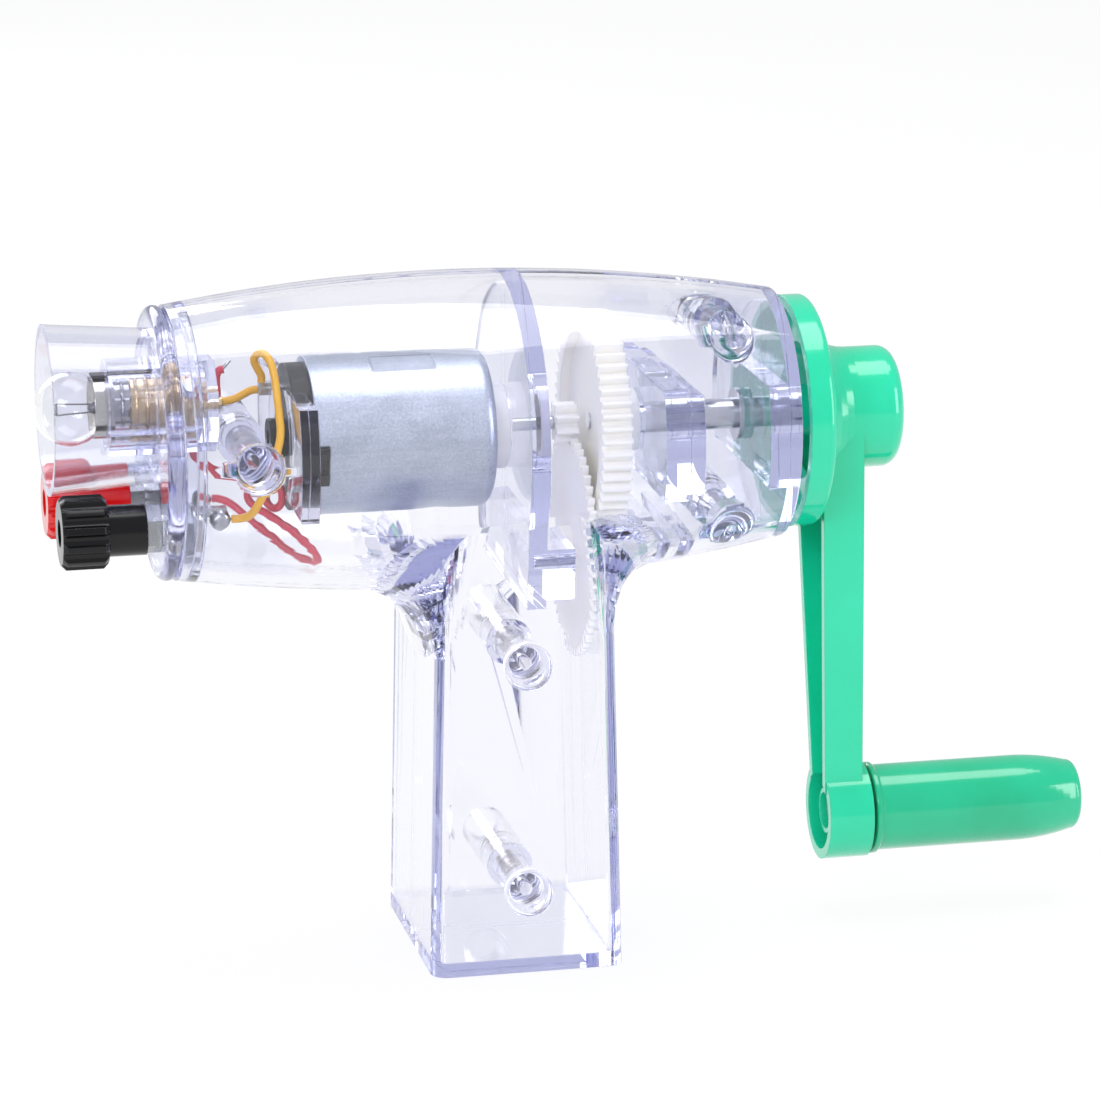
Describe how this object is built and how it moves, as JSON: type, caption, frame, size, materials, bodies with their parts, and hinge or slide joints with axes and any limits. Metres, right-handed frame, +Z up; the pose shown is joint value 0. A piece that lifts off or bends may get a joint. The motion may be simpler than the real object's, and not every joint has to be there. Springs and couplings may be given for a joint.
{
  "type": "hand crank generator",
  "caption": "Clear pistol-grip hand generator: a green crank drives gears and a small dynamo, with a lamp in a flared shade and binding posts at the far end.",
  "frame": {"origin": "middle of the handle's flat foot", "axes": "+X along the crank axis towards the crank, +Y away from the side that the picture shows, +Z up the handle"},
  "size_m": [0.1887, 0.0556, 0.1215],
  "materials": {
    "clear_plastic": "clear polystyrene, glossy, faint violet at the edges",
    "screw_zinc": "dull yellow zinc",
    "motor_steel": "galvanised sheet, dull grey",
    "black_plastic": "black, glossy",
    "ferrite": "dark grey, dull",
    "bronze": "sintered bronze, dull",
    "tinned_metal": "tinned, soldered",
    "carbon": "carbon, dull",
    "nylon": "cream nylon, satin",
    "bright_steel": "bright steel",
    "core_steel": "dark steel",
    "copper": "enamelled copper",
    "green_plastic": "bright green, glossy",
    "brass": "brass",
    "bulb_glass": "clear glass",
    "nickel": "nickel plate",
    "red_plastic": "red, glossy",
    "yellow_lead": "yellow insulation",
    "red_lead": "red insulation"
  },
  "bodies": {
    "housing": {"front_shell": "clear_plastic", "rear_shell": "clear_plastic", "lamp_end_plate": "clear_plastic", "housing_screws": "screw_zinc", "motor_can": "motor_steel", "motor_end_cap": "black_plastic", "motor_magnets": "ferrite", "motor_front_bush": "bronze", "motor_rear_bush": "bronze", "motor_terminals": "tinned_metal", "motor_brushes": "carbon", "motor_spacer": "nylon", "lamp_holder": "clear_plastic", "lamp_socket": "brass", "lamp_contact": "brass", "lamp_strip": "ferrite", "lamp_holder_screw": "bright_steel", "black_post_stud": "nickel", "black_post_nuts": "nickel", "black_post_lug": "tinned_metal", "red_post_stud": "nickel", "red_post_nuts": "nickel", "red_post_lug": "tinned_metal", "lamp_lead_yellow": "yellow_lead", "post_lead_yellow": "yellow_lead", "lamp_lead_red": "red_lead", "post_lead_red": "red_lead", "lamp_tail_red": "red_lead"},
    "crank": {"crank": "green_plastic", "crank_screw": "bright_steel", "crank_shaft": "bright_steel", "drive_gear": "nylon", "shaft_washer": "bright_steel", "grip_screw": "bright_steel", "grip_washer": "bright_steel"},
    "layshaft": {"layshaft": "bright_steel", "layshaft_gear": "nylon", "layshaft_pinion": "nylon"},
    "rotor": {"motor_shaft": "bright_steel", "armature_core": "core_steel", "armature_windings": "copper", "commutator": "copper", "motor_pinion": "nylon"},
    "grip": {"grip": "green_plastic"},
    "black_carrier": {"black_post_insert": "brass"},
    "black_cap": {"black_post_cap": "black_plastic"},
    "red_carrier": {"red_post_insert": "brass"},
    "red_cap": {"red_post_cap": "red_plastic"},
    "bulb_carrier": {"bulb_tip": "nickel"},
    "bulb": {"bulb_glass": "bulb_glass", "bulb_shell": "nickel", "bulb_insulator": "black_plastic", "bulb_filament": "core_steel"}
  },
  "joints": [
    {"name": "crank_turn", "type": "hinge", "parent": "housing", "child": "crank", "pos_m": [0, 0, 0.0937], "axis": [1, 0, 0], "continuous": true},
    {"name": "layshaft_turn", "type": "hinge", "parent": "housing", "child": "layshaft", "pos_m": [0, 0, 0.07165], "axis": [1, 0, 0], "continuous": true},
    {"name": "rotor_turn", "type": "hinge", "parent": "housing", "child": "rotor", "pos_m": [0, 0, 0.0937], "axis": [1, 0, 0], "continuous": true},
    {"name": "grip_turn", "type": "hinge", "parent": "crank", "child": "grip", "pos_m": [0.0848, 0, 0.0188], "axis": [1, 0, 0], "continuous": true},
    {"name": "black_cap_turn", "type": "hinge", "parent": "black_carrier", "child": "black_cap", "pos_m": [-0.0753, -0.011, 0.0814], "axis": [-1, 0, 0], "range_deg": [0, 1441]},
    {"name": "black_cap_slide", "type": "slide", "parent": "housing", "child": "black_carrier", "axis": [-1, 0, 0], "range_m": [0, 0.004]},
    {"name": "red_cap_turn", "type": "hinge", "parent": "red_carrier", "child": "red_cap", "pos_m": [-0.0753, 0.011, 0.0814], "axis": [-1, 0, 0], "range_deg": [0, 1441]},
    {"name": "red_cap_slide", "type": "slide", "parent": "housing", "child": "red_carrier", "axis": [-1, 0, 0], "range_m": [0, 0.004]},
    {"name": "bulb_turn", "type": "hinge", "parent": "bulb_carrier", "child": "bulb", "pos_m": [-0.0757, 0, 0.1005], "axis": [-1, 0, 0], "range_deg": [0, 1081]},
    {"name": "bulb_slide", "type": "slide", "parent": "housing", "child": "bulb_carrier", "axis": [-1, 0, 0], "range_m": [0, 0.00544]}
  ],
  "couplings": [
    {"joint": "layshaft_turn", "follows": "crank_turn", "ratio": -6.875},
    {"joint": "rotor_turn", "follows": "crank_turn", "ratio": 47.266},
    {"joint": "black_cap_turn", "follows": "black_cap_slide", "rad_per_m": 6283.2},
    {"joint": "red_cap_turn", "follows": "red_cap_slide", "rad_per_m": 6283.2},
    {"joint": "bulb_turn", "follows": "bulb_slide", "rad_per_m": 3463.7}
  ]
}
